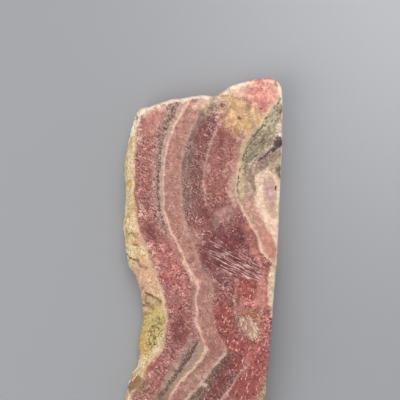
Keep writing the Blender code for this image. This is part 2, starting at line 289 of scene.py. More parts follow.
def smooth_step(values, low, high):
    """0 at low, 1 at high, and an S-curve between; low may be the larger one."""
    share = np.clip((values - low) / (high - low), 0.0, 1.0)
    return share * share * (3 - 2 * share)


def waves_at(places, size, height, shift=0.0):
    """Smooth noise with forms of this size and up to about this height, up and down, at each place."""
    return height * np.array([noise.noise(Vector(place)) for place in places / size + shift])


def cells_at(places, size):
    """The distances to the nearest and the next cell centre, and a number from 0 to 1 for the cell."""
    rows = []
    for place in places / size:
        distances, centres = noise.voronoi(Vector(place))
        rows.append((distances[0], distances[1], 0.5 + 0.5 * noise.cell(centres[0] * CELL_SHUFFLE)))
    return np.array(rows).T


def even_copy(source):
    """A closed copy of a CAD node with even, fine faces."""
    mesh = source.data.copy()
    welder = bmesh.new()
    welder.from_mesh(mesh)
    bmesh.ops.remove_doubles(welder, verts=welder.verts, dist=WELD_M)
    welder.to_mesh(mesh)
    welder.free()
    piece = bpy.data.objects.new("banded_slab", mesh)
    bpy.context.scene.collection.objects.link(piece)
    remesh = piece.modifiers.new("even faces", "REMESH")
    remesh.mode = "VOXEL"
    remesh.voxel_size = VOXEL_M
    view = bpy.context.evaluated_depsgraph_get()
    piece.data = bpy.data.meshes.new_from_object(piece.evaluated_get(view))
    piece.modifiers.clear()
    piece.data.materials.clear()
    return piece


def vertex_rows(mesh, name):
    """The vertices' values of a vector property, as rows."""
    values = np.empty(len(mesh.vertices) * 3, np.float32)
    mesh.vertices.foreach_get(name, values)
    return values.reshape(-1, 3).astype(float)


def places_and_normals(mesh):
    """The vertices' places on the slice's grid and their unit normals."""
    return vertex_rows(mesh, "co") / MM - np.array(GRID_ZERO), vertex_rows(mesh, "normal")


def refine(mesh, chosen, smooth):
    """Halves the faces whose vertices are all chosen, and splits the many-sided ones beside them."""
    maker = bmesh.new()
    maker.from_mesh(mesh)
    maker.verts.ensure_lookup_table()
    edges = {e for f in maker.faces if all(chosen[v.index] for v in f.verts) for e in f.edges}
    bmesh.ops.subdivide_edges(maker, edges=list(edges), cuts=1, use_grid_fill=True)
    bmesh.ops.triangulate(maker, faces=[f for f in maker.faces if len(f.verts) > MOST_SIDES])
    if smooth:
        new_or_chosen = [v for v in maker.verts if not 0 <= v.index < len(chosen) or chosen[v.index]]
        axes = dict.fromkeys(("use_axis_x", "use_axis_y", "use_axis_z"), True)
        bmesh.ops.smooth_vert(maker, verts=new_or_chosen, factor=RIM_SMOOTHING, **axes)
    maker.to_mesh(mesh)
    maker.free()


def patch_weight(patches, x, y):
    """1 inside a patch, 0 outside, with a soft edge."""
    weight = np.zeros(len(x))
    for middle_x, middle_y, half_length, half_width, degrees in patches:
        turn = math.radians(degrees)
        dx, dy = x - middle_x, y - middle_y
        along = (dx * math.cos(turn) + dy * math.sin(turn)) / half_length
        across = (dy * math.cos(turn) - dx * math.sin(turn)) / half_width
        weight = np.maximum(weight, smooth_step(np.hypot(along, across), *PATCH_EDGE))
    return weight


def hollow_weight(places, normals):
    """1 in the hollow with the crystals, 0 elsewhere."""
    return patch_weight(PATCHES["druse"], places[:, 0], places[:, 1]) * (normals[:, 2] > 0)


def skin_weight(places, normals):
    """1 on the vein's natural skin, 0 on the sawn and broken faces."""
    skin_edge = np.interp(places[:, 1], [p[1] for p in SKIN_EDGE], [p[0] for p in SKIN_EDGE])
    past_edge = places[:, 0] - skin_edge + waves_at(places, *SKIN_EDGE_WAVES)
    left_of_edge = smooth_step(past_edge, SKIN_EDGE_SOFTNESS, -SKIN_EDGE_SOFTNESS)
    return left_of_edge * smooth_step(normals[:, 2], *BACK_RISE)


def crease_depth(x, y):
    """Depth of the nearest crease in the skin."""
    depth = np.zeros(len(x))
    for start, end, deepest in CREASES:
        start, end = np.array(start), np.array(end)
        along = end - start
        share = np.clip(((x - start[0]) * along[0] + (y - start[1]) * along[1]) / (along @ along), 0, 1)
        gap = np.hypot(x - start[0] - share * along[0], y - start[1] - share * along[1])
        depth = np.maximum(depth, deepest * smooth_step(gap, CREASE_HALF_WIDTH, 0.0))
    return depth


def skin_relief(places):
    """Cobbles, grit, pits and creases."""
    near, far, _ = cells_at(places, COBBLE_SIZE)
    dome = np.minimum(1.0, COBBLE_STEEPNESS * (far - near)) ** 0.5
    height = COBBLE_HEIGHT * (dome - COBBLE_SUNK)
    for waves in GRIT_WAVES:
        height += waves_at(places, *waves)
    pit, _, chance = cells_at(places + PIT_SHIFT, PIT_SIZE)
    height -= PIT_DEPTH * smooth_step(pit, PIT_REACH, 0.0) * (chance > PIT_CHANCE)
    x = places[:, 0] + waves_at(places, *CREASE_WAVES[0])
    y = places[:, 1] + waves_at(places, *CREASE_WAVES[1])
    return height - crease_depth(x, y)


def ledge_relief(places):
    """Flat steps with short risers, as the stone's cleavage leaves them."""
    rise = LEDGE_STEPS * (0.5 + waves_at(places, *LEDGE_WAVES))
    tread = np.floor(rise)
    return LEDGE_HEIGHT * ((tread + smooth_step(rise - tread, LEDGE_TREAD, 1.0)) / LEDGE_STEPS - 0.5)


def needle_relief(places):
    """Small crystals that fan out over the floor of the hollow."""
    dx, dy = places[:, 0] - FAN_POINT[0], places[:, 1] - FAN_POINT[1]
    spoke, step = np.arctan2(dy, dx) / NEEDLE_ANGLE, np.hypot(dx, dy) / NEEDLE_LENGTH
    near, _, chance = cells_at(np.stack([spoke, step, np.zeros(len(dx))], axis=1), 1.0)
    return NEEDLE_HEIGHT * chance * np.maximum(0.0, 1 - near / NEEDLE_REACH)


def worn_relief(places):
    """The gentle waves of the worn top."""
    return waves_at(places, *WORN_WAVES)


def relief(places, normals):
    """How far each vertex moves out along its normal."""
    end = smooth_step(np.abs(normals[:, 1]), *END_FACING)
    broken = end * (normals[:, 1] < 0) * (places[:, 1] < BROKEN_BELOW_Y)
    top = end * (normals[:, 1] > 0) * (places[:, 1] > TOP_ABOVE_Y)
    parts = (
        (skin_weight(places, normals), skin_relief), (broken, ledge_relief),
        (hollow_weight(places, normals), needle_relief), (top, worn_relief),
    )
    heights = np.zeros(len(places))
    for weight, form in parts:
        there = weight > 0
        heights[there] += weight[there] * form(places[there])
    return heights


def carve(piece):
    """Gives the slab its fine relief; returns the places and normals from before it, and the heights."""
    mesh = piece.data
    _, normals = places_and_normals(mesh)
    refine(mesh, np.abs(normals[:, 2]) < RIM_LEVEL, smooth=True)
    for _ in range(2):
        refine(mesh, hollow_weight(*places_and_normals(mesh)) > TRACE, smooth=False)
    places, normals = places_and_normals(mesh)
    heights = relief(places, normals)
    moved = (places + normals * heights[:, None] + np.array(GRID_ZERO)) * MM
    moved[:, 2] = np.clip(moved[:, 2], 0.0, THICKNESS * MM)
    mesh.vertices.foreach_set("co", moved.astype(np.float32).ravel())
    return places, normals, heights


# --- Fields ---
# A field is one number a vertex, which the material reads as an attribute.

# The pale rim follows the front face's edge: the sawn side's, the top's and the broken end's. It is
# partly bruised stone and partly a painted highlight where the rounded edges catch the light.
RIM_RISE = (0.1, 0.7)  # how much the normals rise on the edge that it follows
RIM_SIDE_X = 44.0  # right of this it follows the edge at any depth
RIM_DEPTH = 1.2  # and left of it, apart from the top, no deeper than this
RIM_RIGHT_X = 40.0  # left of this it follows only the ends
RIM_FOOT_Y = 8.0  # the broken end lies below this
# How far it reaches in, left and right of two places; more at the upper right corner.
RIM_REACH_X = (45.0, 49.0)
RIM_REACH = (1.7, 0.4)
CORNER_REACH = 1.0
CORNER_Y = (104.0, 113.0)
FACING_UP = (0.2, 0.8)
SIDEWAYS_REACH = 0.5  # the share of the reach on faces that look sideways
FRESH_END_Y = (12.0, 6.0)  # the broken end's rim of bruising and painted highlight is faint below the second
FRESH_NARROWER = 0.6
FRESH_FAINTER = 0.35
SHARP_SIDE_Y = (46.0, 38.0)  # the sawn side's rim of bruising and painted highlight is faint below the second
SHARP_SIDE_X = (40.0, 42.0)
SHARP_FAINTER = 0.7
CORAL_FAINTER = 0.65

HOLLOW_Z = (3.0, 5.0)  # the crystals' colours fade out between these heights, well below the hollow
SKIN_PATCH_WAVES = ((1.4, 0.8), (4.0, 1.5))
KINK_SOFTNESS = 0.5


def seam_layers(x, y):
    """The layer of each place on the front face."""
    lines = np.array([np.interp(y, [p[1] for p in seam], [p[0] for p in seam]) for seam in SEAMS])
    left = np.clip((x > lines).sum(axis=0) - 1, 0, len(SEAMS) - 2)
    each = np.arange(len(x))
    start, end = lines[left, each], lines[left + 1, each]
    return left + (x - start) / (end - start)


def eye_reach(x, y):
    """0 at the heart of the eye and 1 on its outer ring's edge."""
    up = y - EYE_CENTRE[1]
    along = up / np.where(up > 0, EYE_UPWARDS, EYE_DOWNWARDS)
    across = (x - EYE_CENTRE[0] - EYE_LEAN * up) / EYE_HALF_WIDTH
    return np.hypot(along, across)


def below_kink(x, y):
    """1 below the kink, 0 above it."""
    kink_y = KINK_START[1] + KINK_SLOPE * (x - KINK_START[0])
    return smooth_step(y, kink_y + KINK_SOFTNESS, kink_y - KINK_SOFTNESS)


def drifted(places):
    """Where on the front face the band at each place comes from."""
    depth = (THICKNESS - places[:, 2]) / THICKNESS
    x = places[:, 0] + depth * (DRIFT[0] + waves_at(places, *DRIFT_WAVES[0]))
    y = places[:, 1] + depth * (DRIFT[1] + waves_at(places, *DRIFT_WAVES[1]))
    for size, push, shift in WAVERS:
        x += waves_at(places, size, push, shift)
        y += waves_at(places, size, push, shift + WAVERS_APART)
    return x, y


def skin_fields(places, normals):
    """Where the skin is, and the patches on it, which slip along it with depth."""
    x = places[:, 0] + waves_at(places, *SKIN_PATCH_WAVES[0])
    y = places[:, 1] + SKIN_LEAN * (THICKNESS - places[:, 2]) + waves_at(places, *SKIN_PATCH_WAVES[1])
    fields = {name: patch_weight(patches, x, y) for name, patches in SKIN_PATCHES.items()}
    return {**fields, "skin": skin_weight(places, normals)}


def stone_fields(places, normals, heights):
    """All the fields of the slab, by name."""
    x, y = drifted(places)
    fields = {name: patch_weight(patches, x, y) for name, patches in PATCHES.items()}
    fields.update(skin_fields(places, normals))
    fields["druse"] *= smooth_step(places[:, 2], *HOLLOW_Z)
    fields["layer"] = seam_layers(x, y)
    for name in OUTER_STAINS:
        fields[name] *= smooth_step(fields["layer"], *OUTER_STAINS_END)
    fields["calm"] = np.max([share * fields[name] for name, share in CALM.items()], axis=0)
    fields["eye"] = eye_reach(x, y)
    fields["low"] = below_kink(x, y)
    cloud_y = y - CLOUDED_SLOPE * (x - CLOUDED_ZERO)
    fields["clear"] = smooth_step(cloud_y, CLOUDED_TO, CLOUDED_FROM) + fields["low"]
    # The rim is lightened for bruising and as a painted highlight on the edges.
    bruised_and_highlit = rim_field(places, normals) * (1 - fields["dark"])
    fields["worn"] = bruised_and_highlit * (1 - CORAL_FAINTER * fields["coral"])
    fields["relief"] = heights
    return fields


def on_rim(places, normals):
    """Which vertices lie on the edge that the rim of bruising and painted highlight follows."""
    x, y, z = places.T
    rim = (normals[:, 2] > RIM_RISE[0]) & (normals[:, 2] < RIM_RISE[1])
    rim &= (y > TOP_ABOVE_Y) | (x > RIM_SIDE_X) | (z > THICKNESS - RIM_DEPTH)
    rim &= (y > TOP_ABOVE_Y) | (x > RIM_RIGHT_X) | (y < RIM_FOOT_Y)
    rim &= patch_weight(PATCHES["druse"], x, y) < TRACE
    return rim & (skin_weight(places, normals) < 0.5)


def rim_field(places, normals):
    """1 on the front face's rim, bruised and painted with highlight, fading inwards, further along the ends
    than on the sawn side.
    """
    rim = places[on_rim(places, normals)]
    tree = kdtree.KDTree(len(rim))
    for place in rim:
        tree.insert(place, 0)
    tree.balance()
    gaps = np.array([tree.find(place)[2] for place in places])
    x, y = places[:, 0], places[:, 1]
    sharp = smooth_step(y, *SHARP_SIDE_Y) * smooth_step(x, *SHARP_SIDE_X)
    corner = smooth_step(y, *CORNER_Y) * smooth_step(x, *RIM_REACH_X)
    fresh = smooth_step(y, *FRESH_END_Y)
    facing = smooth_step(normals[:, 2], *FACING_UP)
    reach = np.interp(x, RIM_REACH_X, RIM_REACH) + CORNER_REACH * corner
    reach *= (SIDEWAYS_REACH + (1 - SIDEWAYS_REACH) * facing) * (1 - FRESH_NARROWER * fresh)
    return smooth_step(gaps / reach, 1.0, 0.0) * (1 - SHARP_FAINTER * sharp) * (1 - FRESH_FAINTER * fresh)


def write_fields(mesh, fields):
    for name, values in fields.items():
        mesh.attributes.new(name, "FLOAT", "POINT").data.foreach_set("value", values.astype(np.float32))


# --- Colours ---


def paint(red, green, blue):
    """A colour given as it looks on a screen, 0 to 255, as Blender's linear one."""
    channels = [value / 255 for value in (red, green, blue)]
    return tuple(c / 12.92 if c <= 0.04045 else ((c + 0.055) / 1.055) ** 2.4 for c in channels) + (1.0,)


EDGE_PINK = paint(218, 176, 152)
ROSE = paint(163, 104, 98)
RED_ROSE = paint(152, 92, 84)
FADED = paint(182, 132, 120)
GREY_MAUVE = paint(168, 130, 122)
GREY_BEIGE = paint(163, 134, 116)
BEIGE = paint(190, 160, 142)
CREAM_LINE = paint(226, 181, 165)
SALMON = paint(178, 128, 114)
PALE_PINK = paint(190, 148, 136)
DARK_GREY = paint(130, 102, 92)
PURPLE_GREY = paint(128, 82, 78)
PLUM = paint(144, 84, 80)
BLUSH = paint(182, 132, 116)
FAR_CREAM_LINE = paint(212, 182, 150)
GREEN_GREY = paint(142, 132, 104)
GREEN_PALE = paint(186, 179, 146)
GREEN_DARK = paint(78, 74, 52)
SMOKE_PINK = paint(172, 144, 126)
TAN = paint(190, 170, 138)
LOOP_CREAM = paint(240, 208, 184)
LOOP_LINE = paint(228, 186, 164)
WARM_PINK = paint(194, 148, 130)
WHITE_CRYSTAL = paint(238, 208, 184)
CRYSTAL_SHADE = paint(182, 140, 118)
SKIN_CREAM = paint(240, 217, 180)
SKIN_GREEN = paint(222, 199, 150)
SKIN_OCHRE = paint(208, 168, 104)
SKIN_PEACH = paint(222, 176, 146)
SKIN_WHITE = paint(254, 236, 210)
# The skin's brown, also used as painted shade in its creases and pits.
SKIN_BROWN_AND_SHADE = paint(146, 108, 62)
BAY_YELLOW = paint(208, 184, 118)
BAY_ORANGE = paint(216, 158, 62)
BAY_OLIVE = paint(96, 88, 50)
BAY_CREAM = paint(222, 202, 164)
FOOT_BROWN = paint(128, 84, 54)
# The rim's pale: bruised stone, and a painted highlight on the edges.
BRUISED_AND_HIGHLIT = paint(250, 232, 214)
DOT_BROWN = paint(84, 60, 48)
SEAM_BROWN = paint(140, 84, 56)
LOW_BEIGE = paint(170, 140, 121)
LOW_CREAM = paint(210, 180, 154)
LOW_LINE = paint(206, 182, 162)
LOW_SALMON = paint(146, 102, 88)
LOW_THREAD = paint(224, 168, 154)
# Painted glints in the red parts.
GLINT_SALMON = paint(242, 180, 166)
BLOT = paint(118, 40, 42)
GRAIN_GLOW = 1.6  # how much lighter a light grain is than the stone
GRAIN_LIGHT = paint(234, 172, 162)
GRAIN_DARK = paint(92, 38, 36)
# Pale of the saw scratches, also used for painted glints.
SCRATCH_AND_GLINT = paint(232, 196, 194)

# Bands as (first layer, last layer, colour, how strongly the grain shows); between two bands they
# run into each other.
CLEAR_BANDS = [
    (0.00, 0.03, EDGE_PINK, 0.5), (0.14, 0.70, ROSE, 1.0), (0.79, 0.92, GREY_MAUVE, 1.0),
    (1.02, 1.30, GREY_BEIGE, 0.9), (1.46, 1.74, BEIGE, 0.5), (1.85, 2.00, CREAM_LINE, 0.1),
    (2.07, 2.84, SALMON, 0.55), (2.98, 2.98, PALE_PINK, 0.3), (3.07, 3.20, DARK_GREY, 0.8),
    (3.62, 3.92, PURPLE_GREY, 1.0), (4.00, 4.00, PALE_PINK, 0.5), (4.05, 4.72, RED_ROSE, 0.8),
    (4.84, 4.92, BLUSH, 0.5), (5.00, 5.09, FAR_CREAM_LINE, 0.2), (5.16, 5.74, GREEN_GREY, 0.6),
    (5.92, 6.60, SMOKE_PINK, 0.6), (6.84, 7.06, TAN, 0.5),
]
CLOUDY_BANDS = [
    (0.00, 0.03, EDGE_PINK, 0.5), (0.14, 0.95, ROSE, 1.0), (1.25, 1.75, FADED, 1.0),
    (1.88, 2.05, CREAM_LINE, 0.2), (2.14, 2.80, SALMON, 0.5), (2.92, 2.98, PALE_PINK, 0.4),
    (3.10, 3.96, PLUM, 1.0), (4.00, 4.00, PALE_PINK, 0.6), (4.04, 4.92, PLUM, 1.0),
    (4.97, 5.10, LOOP_LINE, 0.2), (5.28, 6.50, WARM_PINK, 0.5), (6.88, 7.30, LOOP_CREAM, 0.2),
]
# What else lies over the clear bands below the kink: first layer, last layer, colour, strength.
LOW_BANDS = [
    (0.7, 1.8, LOW_BEIGE, 0.85), (0.98, 1.2, DOT_BROWN, 0.72), (1.84, 2.02, LOW_CREAM, 0.65),
    (2.16, 2.78, LOW_SALMON, 0.6), (2.84, 2.99, LOW_LINE, 0.7), (3.06, 3.28, GREEN_DARK, 0.72),
    (3.98, 4.01, LOW_THREAD, 0.8),
]
LAYER_COUNT = 8.0

# Stains over the bands: the two colours they are mottled from, strength, raggedness and softness.
# The bloom and the flake are partly painted highlight on the edges.
STAINS = {
    "iris": ((212, 180, 153), (190, 152, 128), 0.9, 0.5, 0.3),
    "pupil": ((206, 170, 160), (192, 152, 146), 0.95, 0.5, 0.3),
    "tobacco": ((156, 118, 98), (130, 94, 74), 0.75, 0.8, 0.6),
    "vein": ((230, 202, 184), (206, 168, 152), 0.85, 0.5, 0.5),
    "ash": ((142, 122, 104), (122, 102, 86), 0.85, 0.7, 0.5),
    "mint": ((200, 194, 166), (176, 168, 138), 0.8, 0.9, 0.5),
    "straw": ((212, 186, 154), (190, 168, 130), 0.85, 0.5, 0.4),
    "peachy": ((228, 186, 162), (238, 202, 178), 0.85, 0.8, 0.5),
    "blush": ((204, 158, 146), (176, 122, 114), 0.65, 1.1, 0.5),
    "dun": ((158, 124, 106), (186, 150, 132), 0.7, 0.8, 0.5),
    "frost": ((234, 198, 176), (176, 116, 106), 0.75, 1.2, 0.3),
    "rosy": ((212, 138, 124), (186, 104, 98), 0.75, 1.0, 0.8),
    "coral": ((244, 184, 166), (212, 124, 112), 0.85, 0.5, 0.4),
    "flush": ((212, 150, 134), (196, 122, 110), 0.8, 0.6, 0.6),
    "heart": ((102, 38, 44), (128, 54, 58), 0.95, 0.4, 0.5),
    "smoky": ((142, 100, 100), (120, 78, 84), 0.6, 0.8, 0.5),
    "mauve": ((180, 138, 128), (162, 118, 112), 0.8, 0.5, 0.4),
    "fawn": ((210, 178, 156), (194, 154, 138), 0.8, 0.6, 0.5),
    "amber": ((168, 102, 84), (156, 90, 76), 0.75, 0.7, 0.6),
    "red": ((148, 56, 52), (178, 86, 78), 0.8, 0.9, 1.0),
    "maroon": ((126, 56, 52), (106, 46, 46), 0.85, 0.8, 0.7),
    "olive": ((188, 168, 138), (154, 136, 106), 0.8, 0.8, 0.5),
    "ochre": ((219, 183, 141), (196, 155, 100), 0.95, 1.4, 0.7),
    "rust": ((200, 136, 104), (152, 98, 60), 0.85, 0.7, 0.8),
    "violet": ((188, 126, 136), (168, 108, 116), 0.8, 0.5, 0.6),
    # Partly a painted highlight along the right edge.
    "flake_and_edge_highlight": ((250, 226, 200), (230, 196, 166), 0.95, 0.5, 0.4),
    # Partly a painted highlight on the right edge and the upper left corner.
    "bloom_and_edge_highlight": ((240, 226, 206), (214, 198, 176), 0.85, 1.2, 0.6),
    "drab": ((118, 108, 90), (98, 90, 74), 0.92, 0.6, 0.4),
    "dark": ((40, 36, 30), (40, 36, 30), 0.97, 0.5, 0.35),
}

# --- Materials ---

RAGGEDNESS = 2.5  # how far the noise moves a stain's edge, for a raggedness of 1
LOW_DOTS_SHIFT = 0.14  # how much nearer the skin the dots lie below the kink, in layers
SCRATCH_FADE_Y = (65.0, 60.0)  # light scratches are faint above the first, bright below the second
BAY_ORANGE_X = (6.4, 4.2)  # the bay turns orange between these, towards the outside
CALM_GRAIN = 0.45  # the share of the grain that is left where the stone is calm
STONE_ROUGHNESS = 0.45
BUMP_M = 0.0003
BUMP_STRENGTH = 0.5
FLOOR_GREY = paint(163, 166, 171)
FLOOR_ROUGHNESS = 0.9


class Graph:
    """Adds shader nodes to a material; an input is a number, a colour or another node's output."""

    def __init__(self, name):
        self.material = bpy.data.materials.new(name)
        self.material.use_nodes = True
        self.nodes = self.material.node_tree.nodes
        self.links = self.material.node_tree.links
        self.nodes.clear()

    def add(self, kind, inputs, output=0, **settings):
        node = self.nodes.new("ShaderNode" + kind)
        for name, value in settings.items():
            setattr(node, name, value)
        for socket, value in inputs.items():
            if isinstance(value, bpy.types.NodeSocket):
                self.links.new(value, node.inputs[socket])
            else:
                node.inputs[socket].default_value = value
        return node.outputs[output] if node.outputs else None

    def surface(self, colour, roughness, **inputs):
        """The material, finished with this colour and roughness."""
        inputs = {"Base Color": colour, "Roughness": roughness, **inputs}
        self.add("OutputMaterial", {"Surface": self.add("BsdfPrincipled", inputs)})
        return self.material

    def field(self, name):
        return self.add("Attribute", {}, "Fac", attribute_name=name)

    def math(self, operation, first, second):
        return self.add("Math", {0: first, 1: second}, operation=operation)

    def plus(self, first, second):
        return self.math("ADD", first, second)

    def times(self, *factors):
        product = factors[0]
        for factor in factors[1:]:
            product = self.math("MULTIPLY", product, factor)
        return product

    def step(self, value, low, high, bottom=0.0, top=1.0):
        """bottom where the value is at low, top where it is at high, with an S-curve between."""
        inputs = {"Value": value, "From Min": low, "From Max": high, "To Min": bottom, "To Max": top}
        return self.add("MapRange", inputs, interpolation_type="SMOOTHSTEP")

    def between(self, value, low, high, soft):
        """1 where the value lies from low to high, with soft edges."""
        rise = self.step(value, low - soft, low + soft)
        return self.times(rise, self.step(value, high + soft, high - soft))

    def mix(self, factor, first, second):
        return self.add("Mix", {0: factor, 6: first, 7: second}, 2, data_type="RGBA")

    def mix_numbers(self, factor, first, second):
        return self.add("Mix", {0: factor, 2: first, 3: second})

    def shade(self, colour, factor):
        """The colour made lighter or darker by a factor."""
        return self.add("VectorMath", {0: colour, "Scale": factor}, operation="SCALE")

    def noise(self, place, size, detail=2.0, roughness=0.5):
        """Noise of about 0 to 1 with forms of this size."""
        inputs = {"Vector": place, "Scale": 1 / size, "Detail": detail, "Roughness": roughness}
        return self.add("TexNoise", inputs)

    def ramp(self, value, bands, span):
        """Colour and alpha along a value, from bands of (first, last, colour, alpha)."""
        colour = self.add("ValToRGB", {0: self.math("DIVIDE", value, span)})
        elements = colour.node.color_ramp.elements
        stops = [(place / span, tint[:3] + (alpha,)) for first, last, tint, alpha in bands
                 for place in sorted({first, last})]
        while len(elements) < len(stops):
            elements.new(1.0)
        for element, (position, tint) in zip(elements, stops):
            element.position = position
            element.color = tint
        return colour, colour.node.outputs["Alpha"]


class Stone(Graph):
    """The banded stone: each method lays one more thing over the colour so far.

    Lengths are in millimetres, and places across the bands in layers. The noises lie round 0.5, so
    marks that start further from it are rarer.
    """

    def __init__(self):
        super().__init__("rhodochrosite")
        position = self.add("TexCoord", {}, "Object")
        self.place = self.add("VectorMath", {0: position, "Scale": 1 / MM}, operation="SCALE")
        self.x = self.add("SeparateXYZ", {0: self.place}, "X")
        self.y = self.add("SeparateXYZ", {0: self.place}, "Y")
        self.fine = self.noise(self.place, 0.6, detail=3.0, roughness=0.6)
        self.mottle = self.noise(self.place, 2.2, detail=3.0, roughness=0.6)
        self.layer = self.wandering(self.field("layer"))
        self.clear = self.field("clear")
        self.grain_strength = 1.0

    def wandering(self, layer):
        """The layer with frayed edges, most of all beside the skin."""
        ragged = self.step(layer, 0.5, 0.1, top=0.3)
        wander = self.times(self.math("SUBTRACT", self.mottle, 0.5), ragged)
        fray = self.step(self.fine, 0.25, 0.75, bottom=-0.04, top=0.04)
        return self.plus(layer, self.plus(wander, fray))

    def long_noise(self, length, width, degrees, detail=2.0, roughness=0.5):
        """Noise with forms of this length and width, whose long axis is turned from +X."""
        turned = {"Rotation": (0, 0, math.radians(degrees)), "Scale": (length, width, width)}
        place = self.add("Mapping", {"Vector": self.place, **turned}, vector_type="TEXTURE")
        return self.noise(place, 1.0, detail, roughness)

    def along_bands(self, layers, length):
        """A place in streaks that follow the bands, this many layers wide and this long."""
        parts = {0: self.times(self.layer, 1 / layers), 1: self.times(self.x, 1 / length)}
        return self.add("CombineXYZ", {**parts, 2: self.times(self.y, 1 / length)})

    def banded(self):
        clear, clear_grain = self.ramp(self.layer, CLEAR_BANDS, LAYER_COUNT)
        cloudy, cloudy_grain = self.ramp(self.layer, CLOUDY_BANDS, LAYER_COUNT)
        self.grain_strength = self.mix_numbers(self.clear, cloudy_grain, clear_grain)
        colour = self.mix(self.clear, cloudy, clear)
        mottled = self.step(self.mottle, 0.35, 0.6, bottom=0.55, top=1.15)
        for first, last, tint, strength in LOW_BANDS:
            here = self.times(self.between(self.layer, first, last, soft=0.04), self.field("low"), strength)
            colour = self.mix(self.times(here, mottled), colour, tint)
        return colour

    def smoked(self, colour):
        """The green and grey layers round the eye, mottled and streaked along the bands."""
        inside = self.times(self.between(self.layer, 5.1, 7.9, soft=0.03), self.clear)
        mottles = self.long_noise(3.2, 0.9, 48, detail=3.0, roughness=0.6)
        streaks = self.mix_numbers(0.5, mottles, self.noise(self.along_bands(0.16, 7.0), 1.0))
        colour = self.mix(self.times(self.step(streaks, 0.5, 0.6), inside, 0.9), colour, GREEN_PALE)
        return self.mix(self.times(self.step(streaks, 0.46, 0.36), inside, 0.7), colour, GREEN_DARK)

    def eye(self, colour):
        """The cream ring round the eye."""
        fray = self.step(self.fine, 0.25, 0.75, bottom=-0.08, top=0.08)
        reach = self.plus(self.field("eye"), fray)
        return self.mix(self.step(reach, 1.04, 0.94), colour, LOOP_CREAM)

    def stained(self, colour):
        """Every stain, mottled from its two colours and frayed by its raggedness; the bloom and the flake
        are partly painted highlight on the edges.
        """
        rag = self.math("SUBTRACT", self.mix_numbers(0.5, self.mottle, self.fine), 0.5)
        tone = self.step(self.noise(self.place, 1.7, detail=4.0, roughness=0.7), 0.4, 0.6)
        for name, (first, second, strength, raggedness, softness) in STAINS.items():
            weight = self.plus(self.field(name), self.times(rag, RAGGEDNESS * raggedness))
            cover = self.step(weight, 0.5 - softness, 0.5 + softness, top=strength)
            here = self.step(self.field(name), 0.0, 0.1)
            tint = self.mix(tone, paint(*first), paint(*second))
            colour = self.mix(self.times(cover, here), colour, tint)
        return colour

    def dotted(self, colour):
        """Dots of iron and manganese oxide along the dotted line, and rust along the skin's edge."""
        dots = self.step(self.noise(self.place, 0.62, roughness=0.6), 0.44, 0.56)
        layer = self.plus(self.layer, self.times(self.field("low"), LOW_DOTS_SHIFT))
        brown = self.times(self.between(layer, 1.02, 1.38, soft=0.08), dots)
        cover = self.step(self.clear, 0.0, 1.0, bottom=0.3, top=0.95)
        colour = self.mix(self.times(brown, cover), colour, DOT_BROWN)
        rusty = self.step(self.long_noise(2.6, 0.8, 85, detail=3.0, roughness=0.6), 0.48, 0.58)
        joint = self.times(self.between(self.layer, 0.04, 0.12, soft=0.03), rusty, 0.8)
        return self.mix(joint, colour, SEAM_BROWN)

    def far_lined(self, colour):
        """The far cream line, dull in one part, with green dashes and flecks beside it."""
        dashes = self.step(self.long_noise(1.4, 0.7, 60), 0.46, 0.57)
        green = self.times(self.between(self.layer, 5.12, 5.24, soft=0.03), dashes, self.clear)
        colour = self.mix(green, colour, GREEN_DARK)
        flecks = self.step(self.long_noise(1.2, 0.7, 50, detail=1.0), 0.6, 0.66)
        flecks = self.times(self.between(self.layer, 5.16, 5.5, soft=0.05), flecks, self.clear, 0.85)
        colour = self.mix(flecks, colour, GREEN_DARK)
        cream = self.times(self.between(self.layer, 4.99, 5.09, soft=0.03), self.clear, 0.85)
        colour = self.mix(cream, colour, FAR_CREAM_LINE)
        dull = self.times(self.between(self.layer, 4.8, 5.12, soft=0.06), self.field("dimmed"))
        return self.shade(colour, self.step(dull, 0.0, 0.8, bottom=1.0, top=0.84))

    def grain_cover(self):
        """How strongly the grain shows: by the band, in large patches, and less where it is calm."""
        patches = self.step(self.noise(self.place, 4.5), 0.35, 0.65, bottom=0.5, top=1.1)
        calm = self.step(self.field("calm"), 0.0, 0.6, bottom=1.0, top=CALM_GRAIN)
        low_beige = self.times(self.between(self.layer, 0.7, 1.8, soft=0.1), self.field("low"))
        smooth = self.step(low_beige, 0.0, 1.0, bottom=1.0, top=CALM_GRAIN)
        return self.times(self.grain_strength, patches, calm, smooth)

    def grained(self, colour):
        """Growth lines along the bands, fibres across them, crystal grains, and bright specks that are
        painted glints.
        """
        growth = self.step(self.noise(self.along_bands(0.09, 9.0), 1.0), 0.3, 0.7, bottom=0.92, top=1.08)
        fibres = self.step(self.long_noise(2.8, 0.5, 6), 0.3, 0.7, bottom=0.92, top=1.08)
        patchy = self.step(self.mottle, 0.3, 0.7, bottom=0.8, top=1.15)
        colour = self.shade(colour, self.times(growth, fibres, patchy))
        worms = self.long_noise(0.9, 0.42, -38, detail=3.0, roughness=0.6)
        grain = self.mix_numbers(0.5, worms, self.noise(self.place, 0.5, detail=3.0, roughness=0.65))
        strength = self.grain_cover()
        heart = self.step(self.field("heart"), 0.0, 0.6, bottom=1.0, top=CALM_GRAIN)
        light = self.times(self.step(grain, 0.50, 0.59), strength, heart)
        dark = self.times(self.step(grain, 0.50, 0.41), strength, 0.95)
        glow = self.mix(0.4, self.shade(colour, GRAIN_GLOW), GRAIN_LIGHT)
        colour = self.mix(dark, self.mix(light, colour, glow), GRAIN_DARK)
        # Painted glints: bright specks where crystal faces catch the light.
        specks = self.step(self.noise(self.place, 0.55, detail=1.0), 0.63, 0.72)
        specks = self.times(specks, self.step(self.mottle, 0.45, 0.62), strength)
        return self.mix(specks, colour, SCRATCH_AND_GLINT)

    def glinted_and_blotted(self, colour):
        """Painted salmon glints and dark blots in the red parts."""
        red = self.step(self.field("red"), 0.1, 0.6)
